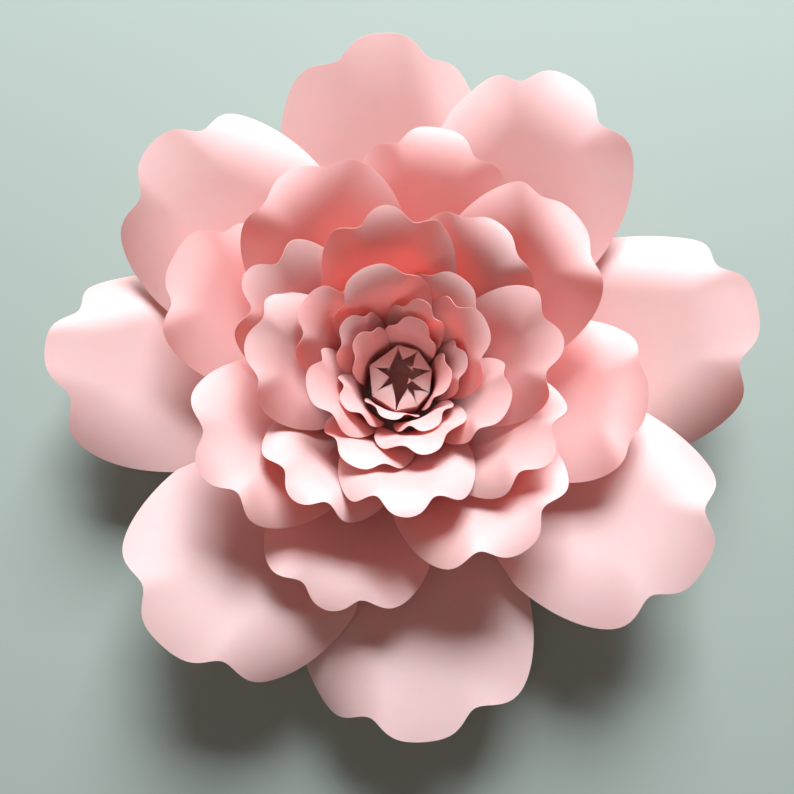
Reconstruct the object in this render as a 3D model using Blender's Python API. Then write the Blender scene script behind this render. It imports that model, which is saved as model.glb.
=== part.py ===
"""Giant paper flower: petals cut from card, curled, and glued by flat foot tabs
onto a round backing disc, with a fringed paper crown folded shut at the heart.

The origin is the middle of the backing disc's flat back, +Z points out of the flower.
"""
import math

import bmesh
import bpy
import numpy as np

MM = 0.001

# The card stock and how the sheets lie on each other.
CARD = 0.35 * MM
GLUE_GAP = 0.3 * MM
LAYER_STEP = CARD + GLUE_GAP

# Petal templates, biggest first: whole length with the glued foot, and width.
OUTER_LENGTH = 244.0 * MM
OUTER_WIDTH = 172.0 * MM
SECOND_LENGTH = 178.0 * MM
SECOND_WIDTH = 116.0 * MM
THIRD_LENGTH = 164.0 * MM
THIRD_WIDTH = 96.0 * MM
FOURTH_LENGTH = 138.0 * MM
FOURTH_WIDTH = 70.0 * MM
HEART_LENGTH = 114.0 * MM
HEART_WIDTH = 44.0 * MM
INNER_LENGTH = 104.0 * MM
INNER_WIDTH = 41.0 * MM

# The fringed crown in the heart.
CROWN_RADIUS = 23.8 * MM
CROWN_HEIGHT = 52.0 * MM
CROWN_TAB_DROP = 2.2 * MM
CROWN_SLIT = 0.9 * MM

# Each side of the crown, hand folded: the turn of its first corner, then the turn of
# its tab's tip, and that tip's radius and width as shares of the crown's radius.
CROWN_TABS = (
    (13.0, 47.0, 0.44, 0.29),
    (56.0, 82.0, 0.59, 0.04),
    (93.0, 141.0, 0.44, 0.17),
    (158.0, 172.0, 0.34, 0.04),
    (212.0, 214.0, 0.30, 0.04),
    (263.0, 307.0, 0.40, 0.04),
    (302.0, 320.0, 0.56, 0.04),
    (333.0, 346.0, 0.26, 0.22),
)
QUARTER_TURN = 90.0

# Creases and feet: each ring creases a step outside the ring glued after it.
CROWN_CLEARANCE = 1.3 * MM
CREASE_STEP = 4.0 * MM
FOOT_SHARE = 0.56
FOOT_HALF_ANGLE = 34.0
HEART_FOOT_HALF_ANGLE = 27.0

# The backing disc behind the flower.
DISC_MARGIN = 16.0 * MM
DISC_THICKNESS = 1.2 * MM
DISC_SEGMENTS = 48

# The outline that all templates share, in shares of their own length and width.
BLADE_CENTRE = 0.66
RIM_SWEEP = math.radians(104.0)
NOTCH_SPREAD = math.radians(12.5)
SHOULDER_SWELL = 0.06
SHOULDER_TURN = math.radians(38.0)
SHOULDER_STATION = 0.16
FAN_BLEND = 0.15

# Steps that the middle line is worked out in, and how far past the tip it runs.
LINE_STEPS = 240
LINE_OVERRUN = 1.4
LEAST_COSINE = 0.05

# The glued layers, counted up from the disc.
FIRST_LAYER = DISC_THICKNESS + GLUE_GAP
RING_COUNT = 10

PINK = (0.86, 0.47, 0.43)
PAPER_ROUGHNESS = 0.82


class Ring:
    """One ring of equal petals: sizes in metres, angles in degrees."""

    def __init__(self, name, order, length, width, lean, cup, tuck, curl_start, curl,
                 fine_rim, foot_half_angle=FOOT_HALF_ANGLE):
        self.name = name
        self.length = length
        self.half_width = width / 2.0
        steps = RING_COUNT - 1 - order
        self.crease_radius = CROWN_RADIUS + CARD + CROWN_CLEARANCE + steps * CREASE_STEP
        self.foot_radius = self.crease_radius * FOOT_SHARE
        self.foot_half_angle = foot_half_angle
        self.base = FIRST_LAYER + order * LAYER_STEP
        self.lean = lean
        self.cup = cup
        self.tuck = tuck
        self.curl_start = curl_start
        self.curl = curl
        self.fine_rim = fine_rim


class Petal:
    """What sets one petal apart from the others cut from the same template."""

    def __init__(self, turn, reach=1.0, spread=1.0, notches=(34.0, 34.0), depth=0.15,
                 curls=(0.0, 0.0, 0.0)):
        self.turn = turn
        self.reach = reach
        self.spread = spread
        self.notches = notches
        self.depth = depth
        self.curls = curls


# Where the rows of a blade lie, from its crease (0) to its rim (1).
BLADE_ROWS = (0.18, 0.42, 0.66, 0.86, 1.0)

# The lean is the angle of the middle line above the table where the sheet leaves
# its crease and at the tip, in degrees, before the three lobes are curled back.
# The curl angles are those of the left shoulder, the tip and the right shoulder.
OUTER_LOW = Ring("outer_petal", 0, OUTER_LENGTH, OUTER_WIDTH, (25.0, 21.0),
                 0.0, 0.0, 0.40, (36.0, 18.0, 36.0), True)
OUTER_HIGH = Ring("outer_petal", 1, OUTER_LENGTH, OUTER_WIDTH, (33.0, 22.0),
                  2.0 * MM, 0.0, 0.40, (36.0, 18.0, 36.0), True)
SECOND_LOW = Ring("second_petal", 2, SECOND_LENGTH, SECOND_WIDTH, (52.0, 33.0),
                  2.0 * MM, 1.0 * MM, 0.42, (36.0, 52.0, 36.0), True)
SECOND_HIGH = Ring("second_petal", 3, SECOND_LENGTH, SECOND_WIDTH, (65.0, 47.0),
                   2.0 * MM, 1.0 * MM, 0.42, (40.0, 60.0, 40.0), True)
THIRD_LOW = Ring("third_petal", 4, THIRD_LENGTH, THIRD_WIDTH, (73.0, 57.0),
                 1.5 * MM, 1.2 * MM, 0.45, (45.0, 62.0, 45.0), True)
THIRD_HIGH = Ring("third_petal", 5, THIRD_LENGTH, THIRD_WIDTH, (77.7, 62.5),
                  1.5 * MM, 1.7 * MM, 0.45, (48.0, 66.0, 48.0), True)
FOURTH_LOW = Ring("fourth_petal", 6, FOURTH_LENGTH, FOURTH_WIDTH, (82.2, 70.0),
                  1.0 * MM, 0.9 * MM, 0.42, (42.0, 58.0, 42.0), False)
FOURTH_HIGH = Ring("fourth_petal", 7, FOURTH_LENGTH, FOURTH_WIDTH, (85.0, 75.2),
                   1.0 * MM, 1.1 * MM, 0.42, (42.0, 60.0, 42.0), False)
HEART = Ring("heart_petal", 8, HEART_LENGTH, HEART_WIDTH, (88.0, 80.0),
             0.5 * MM, 1.2 * MM, 0.40, (38.0, 56.0, 38.0), False,
             HEART_FOOT_HALF_ANGLE)
INNER = Ring("inner_petal", 9, INNER_LENGTH, INNER_WIDTH, (90.0, 84.5),
             0.5 * MM, 0.8 * MM, 0.40, (30.0, 48.0, 30.0), False)

ARRANGEMENT = (
    (OUTER_LOW, (
        Petal(93, 0.92, 0.92, notches=(29, 29), depth=0.15, curls=(-12, -10, 25)),
        Petal(9, 0.99, 1.00, notches=(35, 25), depth=0.19, curls=(26, 11, 21)),
        Petal(-87, 1.00, 1.03, notches=(32, 28), depth=0.17, curls=(-14, -2, 26)),
        Petal(177, 0.96, 0.90, notches=(26, 32), depth=0.18, curls=(-4, -14, 26)),
    )),
    (OUTER_HIGH, (
        Petal(58, 0.94, 0.92, notches=(33, 24), depth=0.19, curls=(26, 16, 8)),
        Petal(-34, 1.00, 0.94, notches=(33, 29), depth=0.18, curls=(9, 13, -14)),
        Petal(-129, 1.00, 0.99, notches=(26, 36), depth=0.16, curls=(15, 3, -14)),
        Petal(138, 0.92, 0.91, notches=(28, 29), depth=0.17, curls=(1, -7, 10)),
    )),
    (SECOND_LOW, (
        Petal(81, 0.99, 0.99, notches=(32, 34), depth=0.16, curls=(20, -8, -10)),
        Petal(-9, 1.03, 1.03, notches=(31, 24), depth=0.10, curls=(8, 18, -4)),
        Petal(-107, 1.03, 1.04, notches=(24, 24), depth=0.17, curls=(-5, -10, -5)),
        Petal(157, 1.03, 0.98, notches=(24, 48), depth=0.15, curls=(-5, 0, 0)),
    )),
    (SECOND_HIGH, (
        Petal(38, 1.07, 1.02, notches=(28, 24), depth=0.11, curls=(12, 22, 4)),
        Petal(-58, 1.06, 1.05, notches=(30, 25), depth=0.17, curls=(0, -10, 8)),
        Petal(-150, 1.07, 1.05, notches=(24, 26), depth=0.17, curls=(16, -10, -10)),
        Petal(121, 1.02, 1.01, notches=(24, 25), depth=0.10, curls=(8, -5, -5)),
    )),
    (THIRD_LOW, (
        Petal(53, 0.98, 1.00, notches=(28, 24), depth=0.10, curls=(0, 10, 5)),
        Petal(-34, 1.07, 1.00, notches=(24, 24), depth=0.16, curls=(15, -10, 5)),
        Petal(-127, 1.03, 1.00, notches=(24, 24), depth=0.16, curls=(20, -10, 8)),
        Petal(152, 1.03, 1.00, notches=(24, 26), depth=0.20, curls=(15, -10, -10)),
    )),
    (THIRD_HIGH, (
        Petal(96, 1.00, 0.98, notches=(24, 24), depth=0.15, curls=(10, -10, 10)),
        Petal(4, 1.08, 0.97, notches=(24, 24), depth=0.14, curls=(-5, -10, 15)),
        Petal(-87, 1.07, 0.98, notches=(24, 28), depth=0.16, curls=(15, -8, 18)),
        Petal(176, 1.02, 0.97, notches=(24, 24), depth=0.10, curls=(10, -10, 15)),
    )),
    (FOURTH_LOW, (
        Petal(54, 0.93, 0.94, notches=(34, 34), depth=0.08, curls=(0, 5, 0)),
        Petal(-24, 1.06, 0.94, notches=(34, 34), depth=0.08, curls=(0, 5, 0)),
        Petal(-114, 1.02, 0.93, notches=(30, 34), depth=0.10, curls=(0, 0, 0)),
        Petal(150, 1.02, 0.97, notches=(28, 48), depth=0.14, curls=(5, 0, 0)),
    )),
    (FOURTH_HIGH, (
        Petal(106, 1.02, 1.00, notches=(48, 28), depth=0.08, curls=(0, 10, 5)),
        Petal(23, 0.97, 1.00, notches=(36, 32), depth=0.12, curls=(0, 0, 0)),
        Petal(-71, 0.98, 0.94, notches=(26, 28), depth=0.14, curls=(-4, 5, 0)),
        Petal(-158, 1.02, 0.95, notches=(26, 46), depth=0.14, curls=(0, 0, -4)),
    )),
    (HEART, (
        Petal(143, 1.05, 1.00, notches=(30, 32), depth=0.10, curls=(5, 5, 5)),
        Petal(71, 1.02, 0.95, notches=(30, 30), depth=0.12, curls=(5, 0, 5)),
        Petal(5, 0.97, 0.90, notches=(33, 30), depth=0.08, curls=(5, 0, 5)),
        Petal(-62, 1.03, 1.00, notches=(30, 36), depth=0.12, curls=(5, 5, 5)),
        Petal(-146, 1.02, 1.00, notches=(30, 30), depth=0.14, curls=(0, 0, 5)),
    )),
    (INNER, (
        Petal(147, 1.05, 0.95, notches=(32, 30), depth=0.10, curls=(0, 0, 5)),
        Petal(72, 1.00, 0.95, notches=(36, 40), depth=0.08, curls=(5, 5, 0)),
        Petal(-12, 0.97, 1.00, notches=(31, 40), depth=0.08, curls=(5, 5, 0)),
        Petal(-105, 0.97, 1.00, notches=(36, 30), depth=0.14, curls=(5, 0, 0)),
    )),
)


def clear_scene():
    for thing in list(bpy.data.objects):
        bpy.data.objects.remove(thing, do_unlink=True)
    for mesh in list(bpy.data.meshes):
        bpy.data.meshes.remove(mesh)
    for material in list(bpy.data.materials):
        bpy.data.materials.remove(material)


def paper_material(name):
    material = bpy.data.materials.new(name)
    material.use_nodes = True
    surface = material.node_tree.nodes["Principled BSDF"]
    surface.inputs["Base Color"].default_value = (*PINK, 1.0)
    surface.inputs["Roughness"].default_value = PAPER_ROUGHNESS
    surface.inputs["Metallic"].default_value = 0.0
    return material


def petal_outline(ring, petal, across):
    """Flat rim point of the template at one place across, from -1 to 1."""
    angle = across * RIM_SWEEP
    length = ring.length * petal.reach
    blade = length * (1.0 - BLADE_CENTRE)
    half_width = ring.half_width * petal.spread
    swell = 1.0 + SHOULDER_SWELL * math.sin(2.0 * abs(angle)) ** 2
    radius = swell * (1.0 - petal.depth * notch_share(petal, across))
    x = half_width * radius * math.sin(angle)
    y = length * BLADE_CENTRE + blade * radius * math.cos(angle)
    return x, y


def rim_stations(ring, petal):
    """Places across the petal, each notch having a station of its own."""
    stations = [0.0]
    for side, notch in zip((-1.0, 1.0), petal.notches):
        dip = math.radians(notch) / RIM_SWEEP
        shoulder = dip + SHOULDER_STATION
        places = [dip / 2.0, dip, shoulder, (shoulder + 1.0) / 2.0, 1.0]
        if not ring.fine_rim:
            places = [dip / 2.0, dip, (dip + 1.0) / 2.0, 1.0]
        stations += [side * place for place in places]
    return sorted(stations)


def notch_share(petal, across):
    """One in the middle of a notch, falling to nothing beside it."""
    angle = abs(across) * RIM_SWEEP
    notch = math.radians(petal.notches[0] if across < 0 else petal.notches[1])
    return math.exp(-(((angle - notch) / NOTCH_SPREAD) ** 2))


def middle_line(ring, petal):
    """Radius, height and lean of the petal's middle line at even steps of length."""
    length = ring.length * petal.reach
    fold = ring.crease_radius - ring.foot_radius
    step = length / LINE_STEPS
    distance = np.arange(int(LINE_STEPS * LINE_OVERRUN)) * step
    free = np.clip((distance - fold) / (length - fold), 0.0, 1.0)
    lean = np.radians(np.interp(free, (0.0, 1.0), ring.lean))
    lean = np.where(distance < fold, 0.0, lean)
    middle = 0.5 * (lean[1:] + lean[:-1])
    radius = ring.foot_radius + np.concatenate(([0.0], np.cumsum(np.cos(middle)) * step))
    height = ring.base + np.concatenate(([0.0], np.cumsum(np.sin(middle)) * step))
    return distance, radius, height, lean


def curl_lobes(ring, petal, x, y):
    """Rolls the tip and both shoulders back, each over an axis of its own.

    Where two rolls meet, in line with a notch, the card is left as a soft ridge.
    """
    length = ring.length * petal.reach
    blade = length * (1.0 - BLADE_CENTRE)
    half_width = ring.half_width * petal.spread
    size = math.sqrt(blade * half_width)
    aims = (-math.radians(petal.notches[0]) - SHOULDER_TURN, 0.0,
            math.radians(petal.notches[1]) + SHOULDER_TURN)
    total = 0.0
    shift_x = 0.0
    shift_y = 0.0
    drop = 0.0
    for aim, base_curl, own_curl in zip(aims, ring.curl, petal.curls):
        along_x = math.sin(aim)
        along_y = math.cos(aim)
        reach = x / half_width * along_x + (y - length * BLADE_CENTRE) / blade * along_y
        reach -= ring.curl_start
        if reach <= 0.0:
            continue
        angle = math.radians(base_curl + own_curl)
        bend = (1.0 - ring.curl_start) * size / angle
        turned = reach * size / bend
        fall = bend * (1.0 - math.cos(turned))
        short = reach * size - bend * math.sin(turned)
        weight = fall * fall
        total += weight
        shift_x -= weight * short * along_x
        shift_y -= weight * short * along_y
        drop += weight * fall
    if total == 0.0:
        return x, y, 0.0
    return x + shift_x / total, y + shift_y / total, drop / total


def foot_point(ring, petal, across, share):
    """A point of the flat glued foot, from its inner end (0) to its crease (1)."""
    radius = ring.foot_radius + (ring.crease_radius - ring.foot_radius) * share
    turn = math.radians(petal.turn - across * ring.foot_half_angle)
    return radius * math.cos(turn), radius * math.sin(turn), ring.base


def blade_point(ring, petal, line, across, share):
    """A point of the free blade, from the crease (0) out to the rim (1)."""
    distance, radius, height, lean = line
    fold = ring.crease_radius - ring.foot_radius
    crease_x = ring.crease_radius * math.radians(ring.foot_half_angle) * across
    rim_x, rim_y = petal_outline(ring, petal, across)
    x = crease_x + (rim_x - crease_x) * share
    y = fold + (rim_y - fold) * share
    x, y, drop = curl_lobes(ring, petal, x, y)
    r = np.interp(y, distance, radius)
    slope = np.interp(y, distance, lean)
    apex = r / max(math.cos(slope), LEAST_COSINE)
    fan = min((y - fold) / (FAN_BLEND * ring.length), 1.0)
    along = y + fan * (math.hypot(x, apex) - apex)
    swing = (1.0 - fan) * x / r + fan * math.atan2(x, apex) * apex / r
    r = np.interp(along, distance, radius)
    z = np.interp(along, distance, height)
    slope = np.interp(along, distance, lean)
    lifted = ring.cup * (across * fan) ** 2 + ring.tuck * across * fan - drop
    out = r - lifted * math.sin(slope)
    up = z + lifted * math.cos(slope)
    turn = math.radians(petal.turn) - swing
    return out * math.cos(turn), out * math.sin(turn), up


def add_petal(name, ring, petal, material):
    """A sheet of card laid through the petal's points, then given its thickness."""
    line = middle_line(ring, petal)
    stations = rim_stations(ring, petal)
    sheet = bmesh.new()
    grid = [[sheet.verts.new(foot_point(ring, petal, across, share))
             for across in stations] for share in (0.0, 1.0)]
    grid += [[sheet.verts.new(blade_point(ring, petal, line, across, share))
              for across in stations] for share in BLADE_ROWS]
    for low, high in zip(grid, grid[1:]):
        for i in range(len(low) - 1):
            sheet.faces.new((low[i], low[i + 1], high[i + 1], high[i]))
    return finish_sheet(name, sheet, material, even=True)


def finish_sheet(name, sheet, material, even):
    mesh = bpy.data.meshes.new(name)
    sheet.to_mesh(mesh)
    sheet.free()
    piece = bpy.data.objects.new(name, mesh)
    bpy.context.collection.objects.link(piece)
    mesh.materials.append(material)
    for face in mesh.polygons:
        face.use_smooth = True
    card = piece.modifiers.new("card thickness", "SOLIDIFY")
    card.thickness = CARD
    card.offset = 1.0
    card.use_even_offset = even
    return piece


def add_disc(material):
    disc_radius = OUTER_LOW.crease_radius + DISC_MARGIN
    bpy.ops.mesh.primitive_cylinder_add(
        vertices=DISC_SEGMENTS, radius=disc_radius, depth=DISC_THICKNESS,
        location=(0.0, 0.0, DISC_THICKNESS / 2.0))
    disc = bpy.context.object
    disc.name = "backing_disc"
    disc.data.name = "backing_disc"
    bpy.ops.object.transform_apply(location=True, rotation=False, scale=False)
    disc.data.materials.append(material)
    return disc


def crown_point(turn, radius, height):
    angle = math.radians(turn)
    return np.array([radius * math.cos(angle), radius * math.sin(angle), height])


def add_crown(material):
    """A paper tube creased into flat sides, its fringe folded in over the opening."""
    sheet = bmesh.new()
    base = FIRST_LAYER + RING_COUNT * LAYER_STEP
    top = base + CROWN_HEIGHT
    feet = [sheet.verts.new(crown_point(tab[0], CROWN_RADIUS, base)) for tab in CROWN_TABS]
    heads = [sheet.verts.new(crown_point(tab[0], CROWN_RADIUS, top)) for tab in CROWN_TABS]
    for i, (turn, tip_turn, tip_radius, tip_width) in enumerate(CROWN_TABS):
        j = (i + 1) % len(CROWN_TABS)
        first = crown_point(turn, CROWN_RADIUS, top)
        last = crown_point(CROWN_TABS[j][0], CROWN_RADIUS, top)
        side = last - first
        slit = side / np.linalg.norm(side) * CROWN_SLIT / 2.0
        tip = crown_point(tip_turn, tip_radius * CROWN_RADIUS, top - CROWN_TAB_DROP)
        half = crown_point(tip_turn + QUARTER_TURN, tip_width * CROWN_RADIUS / 2.0, 0.0)
        a = sheet.verts.new(first + slit)
        b = sheet.verts.new(last - slit)
        c = sheet.verts.new(tip + half)
        d = sheet.verts.new(tip - half)
        sheet.faces.new((feet[i], feet[j], heads[j], b, a, heads[i]))
        sheet.faces.new((a, b, c, d))
    return finish_sheet("fringed_crown", sheet, material, even=False)


def build():
    clear_scene()
    material = paper_material("pink_card")
    add_disc(material)
    counts = {}
    for ring, petals in ARRANGEMENT:
        for petal in petals:
            counts[ring.name] = counts.get(ring.name, 0) + 1
            add_petal(f"{ring.name}_{counts[ring.name]}", ring, petal, material)
    add_crown(material)


build()
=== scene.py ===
"""Dresses the giant paper flower: each petal and the crown in curled card stock."""
import math

import bpy
import numpy as np
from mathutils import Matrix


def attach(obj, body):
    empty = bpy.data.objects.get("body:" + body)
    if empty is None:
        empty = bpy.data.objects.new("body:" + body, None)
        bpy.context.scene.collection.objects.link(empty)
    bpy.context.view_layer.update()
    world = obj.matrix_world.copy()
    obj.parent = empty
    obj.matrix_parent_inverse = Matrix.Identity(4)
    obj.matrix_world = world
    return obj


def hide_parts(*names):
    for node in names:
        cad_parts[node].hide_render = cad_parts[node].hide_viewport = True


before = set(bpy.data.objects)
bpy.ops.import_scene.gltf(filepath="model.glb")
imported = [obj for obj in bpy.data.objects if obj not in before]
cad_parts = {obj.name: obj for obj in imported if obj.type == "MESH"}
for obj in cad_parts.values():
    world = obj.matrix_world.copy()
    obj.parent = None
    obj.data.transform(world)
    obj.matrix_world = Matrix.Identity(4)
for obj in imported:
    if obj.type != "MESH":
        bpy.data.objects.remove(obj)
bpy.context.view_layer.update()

MM = 0.001

# The card stock and how the sheets lie on each other.
CARD = 0.35 * MM
GLUE_GAP = 0.3 * MM
LAYER_STEP = CARD + GLUE_GAP

# Petal templates, biggest first: whole length with the glued foot, and width.
OUTER_LENGTH = 244.0 * MM
OUTER_WIDTH = 172.0 * MM
SECOND_LENGTH = 178.0 * MM
SECOND_WIDTH = 116.0 * MM
THIRD_LENGTH = 164.0 * MM
THIRD_WIDTH = 96.0 * MM
FOURTH_LENGTH = 138.0 * MM
FOURTH_WIDTH = 70.0 * MM
HEART_LENGTH = 114.0 * MM
HEART_WIDTH = 44.0 * MM
INNER_LENGTH = 104.0 * MM
INNER_WIDTH = 41.0 * MM

# The fringed crown in the heart.
CROWN_RADIUS = 23.8 * MM
CROWN_HEIGHT = 52.0 * MM
CROWN_TAB_DROP = 2.2 * MM
CROWN_SLIT = 0.9 * MM

# Each side of the crown, hand folded: the turn of its first corner, then the turn of
# its tab's tip, and that tip's radius and width as shares of the crown's radius.
CROWN_TABS = (
    (13.0, 47.0, 0.44, 0.29),
    (56.0, 82.0, 0.59, 0.04),
    (93.0, 141.0, 0.44, 0.17),
    (158.0, 172.0, 0.34, 0.04),
    (212.0, 214.0, 0.30, 0.04),
    (263.0, 307.0, 0.40, 0.04),
    (302.0, 320.0, 0.56, 0.04),
    (333.0, 346.0, 0.26, 0.22),
)
QUARTER_TURN = 90.0

# Creases and feet: each ring creases a step outside the ring glued after it.
CROWN_CLEARANCE = 1.3 * MM
CREASE_STEP = 4.0 * MM
FOOT_SHARE = 0.56
FOOT_HALF_ANGLE = 34.0
HEART_FOOT_HALF_ANGLE = 27.0

# The backing disc behind the flower.
DISC_THICKNESS = 1.2 * MM

# The outline that all templates share, in shares of their own length and width.
BLADE_CENTRE = 0.66
RIM_SWEEP = math.radians(104.0)
NOTCH_SPREAD = math.radians(12.5)
SHOULDER_SWELL = 0.06
SHOULDER_TURN = math.radians(38.0)
FAN_BLEND = 0.15

# Steps that the middle line is worked out in, and how far past the tip it runs.
LINE_STEPS = 240
LINE_OVERRUN = 1.4
LEAST_COSINE = 0.05

# The glued layers, counted up from the disc.
FIRST_LAYER = DISC_THICKNESS + GLUE_GAP
RING_COUNT = 10


class Ring:
    """One ring of equal petals: sizes in metres, angles in degrees."""

    def __init__(self, name, order, length, width, lean, cup, tuck, curl_start, curl,
                 foot_half_angle=FOOT_HALF_ANGLE):
        self.name = name
        self.length = length
        self.half_width = width / 2.0
        steps = RING_COUNT - 1 - order
        self.crease_radius = CROWN_RADIUS + CARD + CROWN_CLEARANCE + steps * CREASE_STEP
        self.foot_radius = self.crease_radius * FOOT_SHARE
        self.foot_half_angle = foot_half_angle
        self.base = FIRST_LAYER + order * LAYER_STEP
        self.lean = lean
        self.cup = cup
        self.tuck = tuck
        self.curl_start = curl_start
        self.curl = curl


class Petal:
    """What sets one petal apart from the others cut from the same template."""

    def __init__(self, turn, reach=1.0, spread=1.0, notches=(34.0, 34.0), depth=0.15,
                 curls=(0.0, 0.0, 0.0)):
        self.turn = turn
        self.reach = reach
        self.spread = spread
        self.notches = notches
        self.depth = depth
        self.curls = curls


# The lean is the angle of the middle line above the table where the sheet leaves
# its crease and at the tip, in degrees, before the three lobes are curled back.
# The curl angles are those of the left shoulder, the tip and the right shoulder.
OUTER_LOW = Ring("outer_petal", 0, OUTER_LENGTH, OUTER_WIDTH, (25.0, 21.0),
                 0.0, 0.0, 0.40, (36.0, 18.0, 36.0))
OUTER_HIGH = Ring("outer_petal", 1, OUTER_LENGTH, OUTER_WIDTH, (33.0, 22.0),
                  2.0 * MM, 0.0, 0.40, (36.0, 18.0, 36.0))
SECOND_LOW = Ring("second_petal", 2, SECOND_LENGTH, SECOND_WIDTH, (52.0, 33.0),
                  2.0 * MM, 1.0 * MM, 0.42, (36.0, 52.0, 36.0))
SECOND_HIGH = Ring("second_petal", 3, SECOND_LENGTH, SECOND_WIDTH, (65.0, 47.0),
                   2.0 * MM, 1.0 * MM, 0.42, (40.0, 60.0, 40.0))
THIRD_LOW = Ring("third_petal", 4, THIRD_LENGTH, THIRD_WIDTH, (73.0, 57.0),
                 1.5 * MM, 1.2 * MM, 0.45, (45.0, 62.0, 45.0))
THIRD_HIGH = Ring("third_petal", 5, THIRD_LENGTH, THIRD_WIDTH, (77.7, 62.5),
                  1.5 * MM, 1.7 * MM, 0.45, (48.0, 66.0, 48.0))
FOURTH_LOW = Ring("fourth_petal", 6, FOURTH_LENGTH, FOURTH_WIDTH, (82.2, 70.0),
                  1.0 * MM, 0.9 * MM, 0.42, (42.0, 58.0, 42.0))
FOURTH_HIGH = Ring("fourth_petal", 7, FOURTH_LENGTH, FOURTH_WIDTH, (85.0, 75.2),
                   1.0 * MM, 1.1 * MM, 0.42, (42.0, 60.0, 42.0))
HEART = Ring("heart_petal", 8, HEART_LENGTH, HEART_WIDTH, (88.0, 80.0),
             0.5 * MM, 1.2 * MM, 0.40, (38.0, 56.0, 38.0),
             HEART_FOOT_HALF_ANGLE)
INNER = Ring("inner_petal", 9, INNER_LENGTH, INNER_WIDTH, (90.0, 84.5),
             0.5 * MM, 0.8 * MM, 0.40, (30.0, 48.0, 30.0))

ARRANGEMENT = (
    (OUTER_LOW, (
        Petal(93, 0.92, 0.92, notches=(29, 29), depth=0.15, curls=(-12, -10, 25)),
        Petal(9, 0.99, 1.00, notches=(35, 25), depth=0.19, curls=(26, 11, 21)),
        Petal(-87, 1.00, 1.03, notches=(32, 28), depth=0.17, curls=(-14, -2, 26)),
        Petal(177, 0.96, 0.90, notches=(26, 32), depth=0.18, curls=(-4, -14, 26)),
    )),
    (OUTER_HIGH, (
        Petal(58, 0.94, 0.92, notches=(33, 24), depth=0.19, curls=(26, 16, 8)),
        Petal(-34, 1.00, 0.94, notches=(33, 29), depth=0.18, curls=(9, 13, -14)),
        Petal(-129, 1.00, 0.99, notches=(26, 36), depth=0.16, curls=(15, 3, -14)),
        Petal(138, 0.92, 0.91, notches=(28, 29), depth=0.17, curls=(1, -7, 10)),
    )),
    (SECOND_LOW, (
        Petal(81, 0.99, 0.99, notches=(32, 34), depth=0.16, curls=(20, -8, -10)),
        Petal(-9, 1.03, 1.03, notches=(31, 24), depth=0.10, curls=(8, 18, -4)),
        Petal(-107, 1.03, 1.04, notches=(24, 24), depth=0.17, curls=(-5, -10, -5)),
        Petal(157, 1.03, 0.98, notches=(24, 48), depth=0.15, curls=(-5, 0, 0)),
    )),
    (SECOND_HIGH, (
        Petal(38, 1.07, 1.02, notches=(28, 24), depth=0.11, curls=(12, 22, 4)),
        Petal(-58, 1.06, 1.05, notches=(30, 25), depth=0.17, curls=(0, -10, 8)),
        Petal(-150, 1.07, 1.05, notches=(24, 26), depth=0.17, curls=(16, -10, -10)),
        Petal(121, 1.02, 1.01, notches=(24, 25), depth=0.10, curls=(8, -5, -5)),
    )),
    (THIRD_LOW, (
        Petal(53, 0.98, 1.00, notches=(28, 24), depth=0.10, curls=(0, 10, 5)),
        Petal(-34, 1.07, 1.00, notches=(24, 24), depth=0.16, curls=(15, -10, 5)),
        Petal(-127, 1.03, 1.00, notches=(24, 24), depth=0.16, curls=(20, -10, 8)),
        Petal(152, 1.03, 1.00, notches=(24, 26), depth=0.20, curls=(15, -10, -10)),
    )),
    (THIRD_HIGH, (
        Petal(96, 1.00, 0.98, notches=(24, 24), depth=0.15, curls=(10, -10, 10)),
        Petal(4, 1.08, 0.97, notches=(24, 24), depth=0.14, curls=(-5, -10, 15)),
        Petal(-87, 1.07, 0.98, notches=(24, 28), depth=0.16, curls=(15, -8, 18)),
        Petal(176, 1.02, 0.97, notches=(24, 24), depth=0.10, curls=(10, -10, 15)),
    )),
    (FOURTH_LOW, (
        Petal(54, 0.93, 0.94, notches=(34, 34), depth=0.08, curls=(0, 5, 0)),
        Petal(-24, 1.06, 0.94, notches=(34, 34), depth=0.08, curls=(0, 5, 0)),
        Petal(-114, 1.02, 0.93, notches=(30, 34), depth=0.10, curls=(0, 0, 0)),
        Petal(150, 1.02, 0.97, notches=(28, 48), depth=0.14, curls=(5, 0, 0)),
    )),
    (FOURTH_HIGH, (
        Petal(106, 1.02, 1.00, notches=(48, 28), depth=0.08, curls=(0, 10, 5)),
        Petal(23, 0.97, 1.00, notches=(36, 32), depth=0.12, curls=(0, 0, 0)),
        Petal(-71, 0.98, 0.94, notches=(26, 28), depth=0.14, curls=(-4, 5, 0)),
        Petal(-158, 1.02, 0.95, notches=(26, 46), depth=0.14, curls=(0, 0, -4)),
    )),
    (HEART, (
        Petal(143, 1.05, 1.00, notches=(30, 32), depth=0.10, curls=(5, 5, 5)),
        Petal(71, 1.02, 0.95, notches=(30, 30), depth=0.12, curls=(5, 0, 5)),
        Petal(5, 0.97, 0.90, notches=(33, 30), depth=0.08, curls=(5, 0, 5)),
        Petal(-62, 1.03, 1.00, notches=(30, 36), depth=0.12, curls=(5, 5, 5)),
        Petal(-146, 1.02, 1.00, notches=(30, 30), depth=0.14, curls=(0, 0, 5)),
    )),
    (INNER, (
        Petal(147, 1.05, 0.95, notches=(32, 30), depth=0.10, curls=(0, 0, 5)),
        Petal(72, 1.00, 0.95, notches=(36, 40), depth=0.08, curls=(5, 5, 0)),
        Petal(-12, 0.97, 1.00, notches=(31, 40), depth=0.08, curls=(5, 5, 0)),
        Petal(-105, 0.97, 1.00, notches=(36, 30), depth=0.14, curls=(5, 0, 0)),
    )),
)


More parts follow.
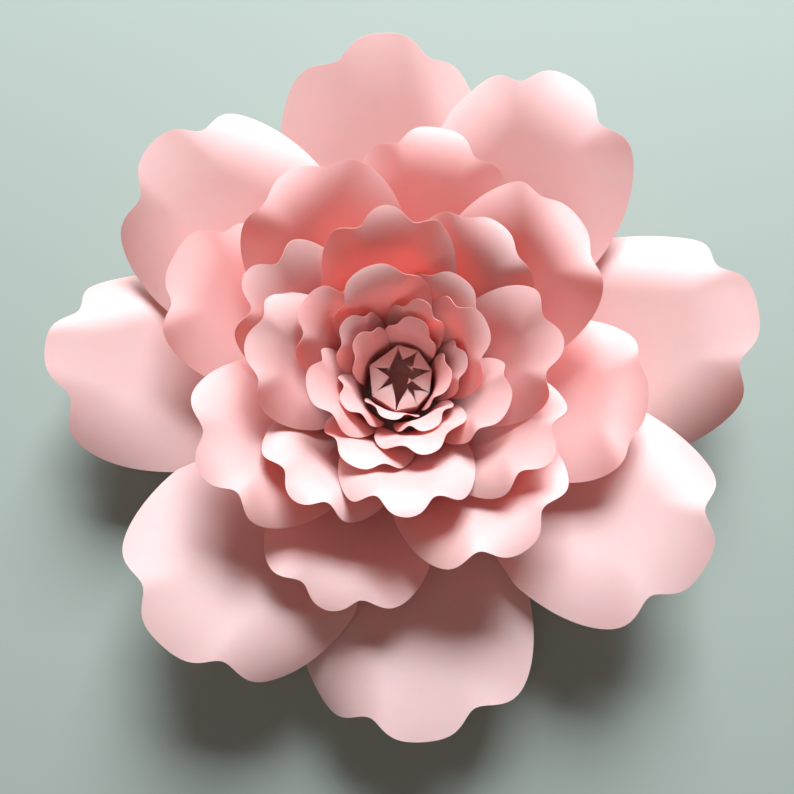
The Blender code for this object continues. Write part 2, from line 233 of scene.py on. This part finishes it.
def petal_outline(ring, petal, across):
    """Flat rim point of the template at one place across, from -1 to 1."""
    angle = across * RIM_SWEEP
    length = ring.length * petal.reach
    blade = length * (1.0 - BLADE_CENTRE)
    half_width = ring.half_width * petal.spread
    swell = 1.0 + SHOULDER_SWELL * math.sin(2.0 * abs(angle)) ** 2
    radius = swell * (1.0 - petal.depth * notch_share(petal, across))
    x = half_width * radius * math.sin(angle)
    y = length * BLADE_CENTRE + blade * radius * math.cos(angle)
    return x, y


def notch_share(petal, across):
    """One in the middle of a notch, falling to nothing beside it."""
    angle = abs(across) * RIM_SWEEP
    notch = math.radians(petal.notches[0] if across < 0 else petal.notches[1])
    return math.exp(-(((angle - notch) / NOTCH_SPREAD) ** 2))


def middle_line(ring, petal):
    """Radius, height and lean of the petal's middle line at even steps of length."""
    length = ring.length * petal.reach
    fold = ring.crease_radius - ring.foot_radius
    step = length / LINE_STEPS
    distance = np.arange(int(LINE_STEPS * LINE_OVERRUN)) * step
    free = np.clip((distance - fold) / (length - fold), 0.0, 1.0)
    lean = np.radians(np.interp(free, (0.0, 1.0), ring.lean))
    lean = np.where(distance < fold, 0.0, lean)
    middle = 0.5 * (lean[1:] + lean[:-1])
    radius = ring.foot_radius + np.concatenate(([0.0], np.cumsum(np.cos(middle)) * step))
    height = ring.base + np.concatenate(([0.0], np.cumsum(np.sin(middle)) * step))
    return distance, radius, height, lean


def curl_lobes(ring, petal, x, y):
    """Rolls the tip and both shoulders back, each over an axis of its own.

    Where two rolls meet, in line with a notch, the card is left as a soft ridge.
    """
    length = ring.length * petal.reach
    blade = length * (1.0 - BLADE_CENTRE)
    half_width = ring.half_width * petal.spread
    size = math.sqrt(blade * half_width)
    aims = (-math.radians(petal.notches[0]) - SHOULDER_TURN, 0.0,
            math.radians(petal.notches[1]) + SHOULDER_TURN)
    total = 0.0
    shift_x = 0.0
    shift_y = 0.0
    drop = 0.0
    for aim, base_curl, own_curl in zip(aims, ring.curl, petal.curls):
        along_x = math.sin(aim)
        along_y = math.cos(aim)
        reach = x / half_width * along_x + (y - length * BLADE_CENTRE) / blade * along_y
        reach -= ring.curl_start
        if reach <= 0.0:
            continue
        angle = math.radians(base_curl + own_curl)
        bend = (1.0 - ring.curl_start) * size / angle
        turned = reach * size / bend
        fall = bend * (1.0 - math.cos(turned))
        short = reach * size - bend * math.sin(turned)
        weight = fall * fall
        total += weight
        shift_x -= weight * short * along_x
        shift_y -= weight * short * along_y
        drop += weight * fall
    if total == 0.0:
        return x, y, 0.0
    return x + shift_x / total, y + shift_y / total, drop / total


def foot_point(ring, petal, across, share):
    """A point of the flat glued foot, from its inner end (0) to its crease (1)."""
    radius = ring.foot_radius + (ring.crease_radius - ring.foot_radius) * share
    turn = math.radians(petal.turn - across * ring.foot_half_angle)
    return radius * math.cos(turn), radius * math.sin(turn), ring.base


def blade_point(ring, petal, line, across, share):
    """A point of the free blade, from the crease (0) out to the rim (1)."""
    distance, radius, height, lean = line
    fold = ring.crease_radius - ring.foot_radius
    crease_x = ring.crease_radius * math.radians(ring.foot_half_angle) * across
    rim_x, rim_y = petal_outline(ring, petal, across)
    x = crease_x + (rim_x - crease_x) * share
    y = fold + (rim_y - fold) * share
    x, y, drop = curl_lobes(ring, petal, x, y)
    r = np.interp(y, distance, radius)
    slope = np.interp(y, distance, lean)
    apex = r / max(math.cos(slope), LEAST_COSINE)
    fan = min((y - fold) / (FAN_BLEND * ring.length), 1.0)
    along = y + fan * (math.hypot(x, apex) - apex)
    swing = (1.0 - fan) * x / r + fan * math.atan2(x, apex) * apex / r
    r = np.interp(along, distance, radius)
    z = np.interp(along, distance, height)
    slope = np.interp(along, distance, lean)
    lifted = ring.cup * (across * fan) ** 2 + ring.tuck * across * fan - drop
    out = r - lifted * math.sin(slope)
    up = z + lifted * math.cos(slope)
    turn = math.radians(petal.turn) - swing
    return out * math.cos(turn), out * math.sin(turn), up


# How finely the card is divided, and how sharp an edge has to be to stay crisp.
CARD_COLUMNS = 72
CARD_ROWS = 40
ROW_CROWDING = 1.25
LEAST_SHARE = 0.004
FOOT_SHARES = (0.0, 0.5, 0.96)
TAB_COLUMNS = 8
TAB_ROWS = 10
EDGE_ANGLE = math.radians(40.0)

# The flat pattern that the grain follows: half a foot's width, how narrow a blade
# starts against its rim, and the width of a crown side and the length of a tab.
FLAT_FOOT = 30.0 * MM
FLAT_NARROWING = 0.6
FLAT_SIDE = 20.0 * MM
FLAT_TAB = 12.0 * MM

# How the crown's tabs taper, bow up as they fold over and roll down at their sides.
TAB_TAPER = 1.4
TAB_BOW = 0.9 * MM
TAB_ROLL = 0.8 * MM


def card_sheet(name, grid, flat):
    """A sheet of card through a grid of points, with its flat pattern as UV map."""
    rows, columns = len(grid), len(grid[0])
    bpy.ops.object.select_all(action="DESELECT")
    bpy.ops.mesh.primitive_grid_add(x_subdivisions=columns - 1, y_subdivisions=rows - 1,
                                    size=1.0, location=(0.0, 0.0, 0.0))
    piece = bpy.context.object
    piece.name = name
    mesh = piece.data
    mesh.name = name
    order = {}
    for vertex in mesh.vertices:
        column = round((vertex.co.x + 0.5) * (columns - 1))
        row = round((vertex.co.y + 0.5) * (rows - 1))
        order[vertex.index] = (row, column)
    uv = mesh.uv_layers[0].data
    for loop in mesh.loops:
        row, column = order[loop.vertex_index]
        uv[loop.index].uv = flat[row][column]
    for index, (row, column) in order.items():
        mesh.vertices[index].co = grid[row][column]
    give_thickness(piece, even=True)
    return piece


def give_thickness(piece, even):
    """Thickens a sheet to card and keeps its cut edges crisp."""
    bpy.ops.object.select_all(action="DESELECT")
    piece.select_set(True)
    bpy.context.view_layer.objects.active = piece
    card = piece.modifiers.new("card thickness", "SOLIDIFY")
    card.thickness = CARD
    card.offset = 1.0
    card.use_even_offset = even
    bpy.ops.object.modifier_apply(modifier=card.name)
    bpy.ops.object.shade_smooth_by_angle(angle=EDGE_ANGLE)


def smooth_shares(count, power):
    """Shares from nothing to one, closer together near one."""
    return [1.0 - (1.0 - i / count) ** power for i in range(count + 1)]


def card_petal(name, ring, petal, material):
    """One petal in finer card: its glued foot, then its curled blade."""
    line = middle_line(ring, petal)
    stations = [-1.0 + 2.0 * i / CARD_COLUMNS for i in range(CARD_COLUMNS + 1)]
    grid = []
    flat = []
    fold = ring.crease_radius - ring.foot_radius
    for share in FOOT_SHARES:
        grid.append([foot_point(ring, petal, s, share) for s in stations])
        flat.append([(s * FLAT_FOOT, share * fold) for s in stations])
    for share in smooth_shares(CARD_ROWS, ROW_CROWDING):
        share = max(share, LEAST_SHARE)
        grid.append([blade_point(ring, petal, line, s, share) for s in stations])
        row = []
        for s in stations:
            rim_x, rim_y = petal_outline(ring, petal, s)
            narrowed = 1.0 - FLAT_NARROWING + FLAT_NARROWING * share
            row.append((rim_x * narrowed, fold + (rim_y - fold) * share))
        flat.append(row)
    piece = card_sheet(name + "_card", grid, flat)
    piece.data.materials.clear()
    piece.data.materials.append(material)
    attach(piece, "root")
    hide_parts(name)


def crown_point(turn, radius, height):
    angle = math.radians(turn)
    return np.array([radius * math.cos(angle), radius * math.sin(angle), height])


def crown_side(i):
    """Flat grid points of one wall and its folded tab, from the foot up and over."""
    turn, tip_turn, tip_radius, tip_width = CROWN_TABS[i]
    next_turn = CROWN_TABS[(i + 1) % len(CROWN_TABS)][0]
    base = FIRST_LAYER + RING_COUNT * LAYER_STEP
    top = base + CROWN_HEIGHT
    tip = crown_point(tip_turn, tip_radius * CROWN_RADIUS, top - CROWN_TAB_DROP)
    half = crown_point(tip_turn + QUARTER_TURN, tip_width * CROWN_RADIUS / 2.0, 0.0)
    wall = []
    tab = []
    for across in np.linspace(0.0, 1.0, TAB_COLUMNS + 1):
        low = crown_point(turn, CROWN_RADIUS, base) * (1.0 - across)
        low = low + crown_point(next_turn, CROWN_RADIUS, base) * across
        high = low.copy()
        high[2] = top
        wall.append((low, high))
    first, last = wall[0][1], wall[-1][1]
    slit = (last - first) / np.linalg.norm(last - first) * CROWN_SLIT / 2.0
    middle = (first + last) / 2.0
    for across in np.linspace(0.0, 1.0, TAB_COLUMNS + 1):
        fold = (first + slit) * (1.0 - across) + (last - slit) * across - middle
        end = (tip + half) * (1.0 - across) + (tip - half) * across - tip
        column = []
        for share in np.linspace(0.0, 1.0, TAB_ROWS + 1):
            narrowing = share ** TAB_TAPER
            point = middle * (1.0 - share) + tip * share
            point = point + fold * (1.0 - narrowing) + end * narrowing
            point[2] += TAB_BOW * 4.0 * share * (1.0 - share)
            point[2] -= TAB_ROLL * share * (2.0 * across - 1.0) ** 2
            column.append(point)
        tab.append(column)
    return wall, tab


def card_crown(material):
    """The crown as one strip: creased walls, and tabs that bow a little as they fold."""
    mesh = bpy.data.meshes.new("fringed_crown_card")
    points = []
    faces = []
    places = []

    def point(co, place):
        points.append(tuple(co))
        places.append(place)
        return len(points) - 1

    corner_low = {}
    corner_high = {}
    count = len(CROWN_TABS)
    for i in range(count):
        wall, tab = crown_side(i)
        along = FLAT_SIDE * i
        low = []
        high = []
        for k, (bottom, top) in enumerate(wall):
            step = FLAT_SIDE * k / TAB_COLUMNS
            if k in (0, TAB_COLUMNS):
                corner = (i + (k > 0)) % count
                if corner not in corner_low:
                    corner_low[corner] = point(bottom, (along + step, 0.0))
                    corner_high[corner] = point(top, (along + step, CROWN_HEIGHT))
                low.append(corner_low[corner])
                high.append(corner_high[corner])
            else:
                low.append(point(bottom, (along + step, 0.0)))
                high.append(None)
        rows = []
        for r in range(TAB_ROWS + 1):
            up = CROWN_HEIGHT + FLAT_TAB * r / TAB_ROWS
            rows.append([point(tab[k][r], (along + FLAT_SIDE * k / TAB_COLUMNS, up))
                         for k in range(TAB_COLUMNS + 1)])
        for k in range(TAB_COLUMNS):
            face = [low[k], low[k + 1]]
            if k + 1 == TAB_COLUMNS:
                face.append(high[k + 1])
            face.append(rows[0][k + 1])
            face.append(rows[0][k])
            if k == 0:
                face.append(high[0])
            faces.append(face)
        for r in range(TAB_ROWS):
            for k in range(TAB_COLUMNS):
                faces.append([rows[r][k], rows[r][k + 1], rows[r + 1][k + 1], rows[r + 1][k]])
    mesh.from_pydata(points, [], faces)
    uv = mesh.uv_layers.new(name="UVMap").data
    for loop in mesh.loops:
        uv[loop.index].uv = places[loop.vertex_index]
    piece = bpy.data.objects.new("fringed_crown_card", mesh)
    bpy.context.collection.objects.link(piece)
    give_thickness(piece, even=False)
    piece.data.materials.clear()
    piece.data.materials.append(material)
    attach(piece, "root")
    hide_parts("fringed_crown")


# The blush card: its colour, its sheen, and how far light creeps through it.
BLUSH = (0.90, 0.46, 0.44)
CARD_ROUGHNESS = 0.6
CARD_IOR = 1.9
CARD_SHEEN = 0.5
CARD_GLOW = 0.65
GLOW_REACH = 3.0 * MM
GLOW_SPREAD = (1.0, 0.20, 0.14)

# The grain: fine fibres that are felt, and clouds that only tint.
MOTTLE = 0.05
FIBRE_BUMP = 0.25
FIBRE_HEIGHT = 0.2 * MM
FIBRE_DETAIL = 4.0
FIBRE_ROUGHNESS = 0.65
CLOUD_SCALE = 55.0
CLOUD_DETAIL = 3.0


def socket(tree, name, kind, way, value=None):
    made = tree.interface.new_socket(name=name, in_out=way, socket_type=kind)
    if value is not None:
        made.default_value = value


def math_node(nodes, links, first, second, operation="ADD"):
    """A Math node of two sockets, or of a socket and a number."""
    node = nodes.new("ShaderNodeMath")
    node.operation = operation
    for place, given in enumerate((first, second)):
        if isinstance(given, float):
            node.inputs[place].default_value = given
        else:
            links.new(given, node.inputs[place])
    return node.outputs[0]


def fibre_grain_group():
    """Paper grain: a fine fibre bump with faint cloudy tone, from the sheet's own UV."""
    group = bpy.data.node_groups.new("paper fibre grain", "ShaderNodeTree")
    socket(group, "Colour", "NodeSocketColor", "INPUT", (0.8, 0.4, 0.4, 1.0))
    socket(group, "Grain Scale", "NodeSocketFloat", "INPUT", 900.0)
    socket(group, "Mottle", "NodeSocketFloat", "INPUT", 0.05)
    socket(group, "Bump", "NodeSocketFloat", "INPUT", 0.15)
    socket(group, "Roughness", "NodeSocketFloat", "INPUT", 0.8)
    socket(group, "Colour", "NodeSocketColor", "OUTPUT")
    socket(group, "Roughness", "NodeSocketFloat", "OUTPUT")
    socket(group, "Normal", "NodeSocketVector", "OUTPUT")
    nodes, links = group.nodes, group.links
    taken = nodes.new("NodeGroupInput")
    given = nodes.new("NodeGroupOutput")
    place = nodes.new("ShaderNodeUVMap")
    place.uv_map = "UVMap"
    fibres = nodes.new("ShaderNodeTexNoise")
    fibres.inputs["Detail"].default_value = FIBRE_DETAIL
    fibres.inputs["Roughness"].default_value = FIBRE_ROUGHNESS
    links.new(place.outputs["UV"], fibres.inputs["Vector"])
    links.new(taken.outputs["Grain Scale"], fibres.inputs["Scale"])
    clouds = nodes.new("ShaderNodeTexNoise")
    clouds.inputs["Scale"].default_value = CLOUD_SCALE
    clouds.inputs["Detail"].default_value = CLOUD_DETAIL
    links.new(place.outputs["UV"], clouds.inputs["Vector"])
    both = math_node(nodes, links, fibres.outputs["Fac"], clouds.outputs["Fac"])
    centred = math_node(nodes, links, both, 1.0, "SUBTRACT")
    amount = math_node(nodes, links, centred, taken.outputs["Mottle"], "MULTIPLY")
    value = math_node(nodes, links, amount, 1.0)
    tone = nodes.new("ShaderNodeHueSaturation")
    links.new(taken.outputs["Colour"], tone.inputs["Color"])
    links.new(value, tone.inputs["Value"])
    links.new(tone.outputs["Color"], given.inputs["Colour"])
    rough = math_node(nodes, links, taken.outputs["Roughness"], amount)
    links.new(rough, given.inputs["Roughness"])
    bump = nodes.new("ShaderNodeBump")
    bump.inputs["Distance"].default_value = FIBRE_HEIGHT
    links.new(taken.outputs["Bump"], bump.inputs["Strength"])
    links.new(fibres.outputs["Fac"], bump.inputs["Height"])
    links.new(bump.outputs["Normal"], given.inputs["Normal"])
    return group


def card_material(name, grain, colour):
    """Card stock that lets some light through, with its grain from the group."""
    material = bpy.data.materials.new(name)
    material.use_nodes = True
    nodes, links = material.node_tree.nodes, material.node_tree.links
    surface = nodes["Principled BSDF"]
    surface.inputs["Metallic"].default_value = 0.0
    surface.inputs["IOR"].default_value = CARD_IOR
    surface.inputs["Subsurface Weight"].default_value = CARD_GLOW
    surface.inputs["Subsurface Radius"].default_value = GLOW_SPREAD
    surface.inputs["Subsurface Scale"].default_value = GLOW_REACH
    surface.inputs["Specular IOR Level"].default_value = CARD_SHEEN
    paper = nodes.new("ShaderNodeGroup")
    paper.node_tree = grain
    paper.inputs["Colour"].default_value = (*colour, 1.0)
    paper.inputs["Mottle"].default_value = MOTTLE
    paper.inputs["Bump"].default_value = FIBRE_BUMP
    paper.inputs["Roughness"].default_value = CARD_ROUGHNESS
    links.new(paper.outputs["Colour"], surface.inputs["Base Color"])
    links.new(paper.outputs["Roughness"], surface.inputs["Roughness"])
    links.new(paper.outputs["Normal"], surface.inputs["Normal"])
    return material


grain = fibre_grain_group()
petal_card = card_material("blush card", grain, BLUSH)

counts = {}
for ring, petals in ARRANGEMENT:
    for petal in petals:
        counts[ring.name] = counts.get(ring.name, 0) + 1
        card_petal(f"{ring.name}_{counts[ring.name]}", ring, petal, petal_card)

card_crown(petal_card)
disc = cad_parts["backing_disc"]
for slot in disc.material_slots:
    slot.material = petal_card

# A plain pale floor just under the flower.
FLOOR_SIZE = 6.0
FLOOR_GAP = 0.5 * MM
FLOOR_COLOUR = (0.36, 0.43, 0.385, 1.0)
FLOOR_ROUGHNESS = 0.9
bpy.ops.object.select_all(action="DESELECT")
bpy.ops.mesh.primitive_plane_add(size=FLOOR_SIZE, location=(0.0, 0.0, -FLOOR_GAP))
floor = bpy.context.object
floor.name = "studio_floor"
floor_paint = bpy.data.materials.new("pale floor")
floor_paint.use_nodes = True
floor_surface = floor_paint.node_tree.nodes["Principled BSDF"]
floor_surface.inputs["Base Color"].default_value = FLOOR_COLOUR
floor_surface.inputs["Roughness"].default_value = FLOOR_ROUGHNESS
floor.data.materials.append(floor_paint)

# The cool window is beyond the top of the picture; the warm room only fills.
HEART_PLACE = (0.0, 0.0, 0.05)
LIGHT_SIZE = 1.5
WINDOW_POWER = 160.0
ROOM_POWER = 6.0


def soft_light(name, place, size, power, colour):
    """A square sheet of light that faces the heart of the flower."""
    data = bpy.data.lights.new(name, "AREA")
    data.shape = "SQUARE"
    data.size = size
    data.energy = power
    data.color = colour
    lamp = bpy.data.objects.new(name, data)
    bpy.context.collection.objects.link(lamp)
    lamp.location = place
    aim = np.array(HEART_PLACE) - np.array(place)
    aim = aim / np.linalg.norm(aim)
    lamp.rotation_euler = (math.acos(-aim[2]), 0.0, math.atan2(-aim[0], aim[1]))


soft_light("window", (0.30, 2.13, 1.72), LIGHT_SIZE, WINDOW_POWER, (0.91, 0.94, 1.0))
soft_light("room", (-0.3, -0.5, 2.4), LIGHT_SIZE, ROOM_POWER, (1.0, 0.85, 0.80))

# Seen straight, the room is a pale wall; it lights the flower only faintly.
ROOM_COLOUR = (1.0, 0.80, 0.74, 1.0)
ROOM_STRENGTH = 0.10
WALL_COLOUR = (0.42, 0.48, 0.46, 1.0)
world = bpy.data.worlds.new("soft room")
bpy.context.scene.world = world
world.use_nodes = True
room_nodes, room_links = world.node_tree.nodes, world.node_tree.links
room_air = room_nodes["Background"]
room_air.inputs["Color"].default_value = ROOM_COLOUR
room_air.inputs["Strength"].default_value = ROOM_STRENGTH
pale_wall = room_nodes.new("ShaderNodeBackground")
pale_wall.inputs["Color"].default_value = WALL_COLOUR
sight = room_nodes.new("ShaderNodeLightPath")
either = room_nodes.new("ShaderNodeMixShader")
room_links.new(sight.outputs["Is Camera Ray"], either.inputs["Fac"])
room_links.new(room_air.outputs["Background"], either.inputs[1])
room_links.new(pale_wall.outputs["Background"], either.inputs[2])
room_links.new(either.outputs["Shader"], room_nodes["World Output"].inputs["Surface"])

bpy.context.scene.view_settings.view_transform = "Standard"

# The picture was taken straight down, from below the flower's middle in the picture,
# and cropped square: the shift is what that crop needs.
SENSOR_WIDTH = 36.0
PHOTO_LENS = 40.35
CROP_SHIFT = 0.18
CAMERA_PLACE = (-0.0022, -0.1187, 0.712)
view = bpy.data.cameras.new("photo view")
view.sensor_width = SENSOR_WIDTH
view.lens = PHOTO_LENS
view.shift_y = CROP_SHIFT
camera = bpy.data.objects.new("photo view", view)
bpy.context.collection.objects.link(camera)
camera.location = CAMERA_PLACE
camera.rotation_euler = (0.0, 0.0, 0.0)
bpy.context.scene.camera = camera
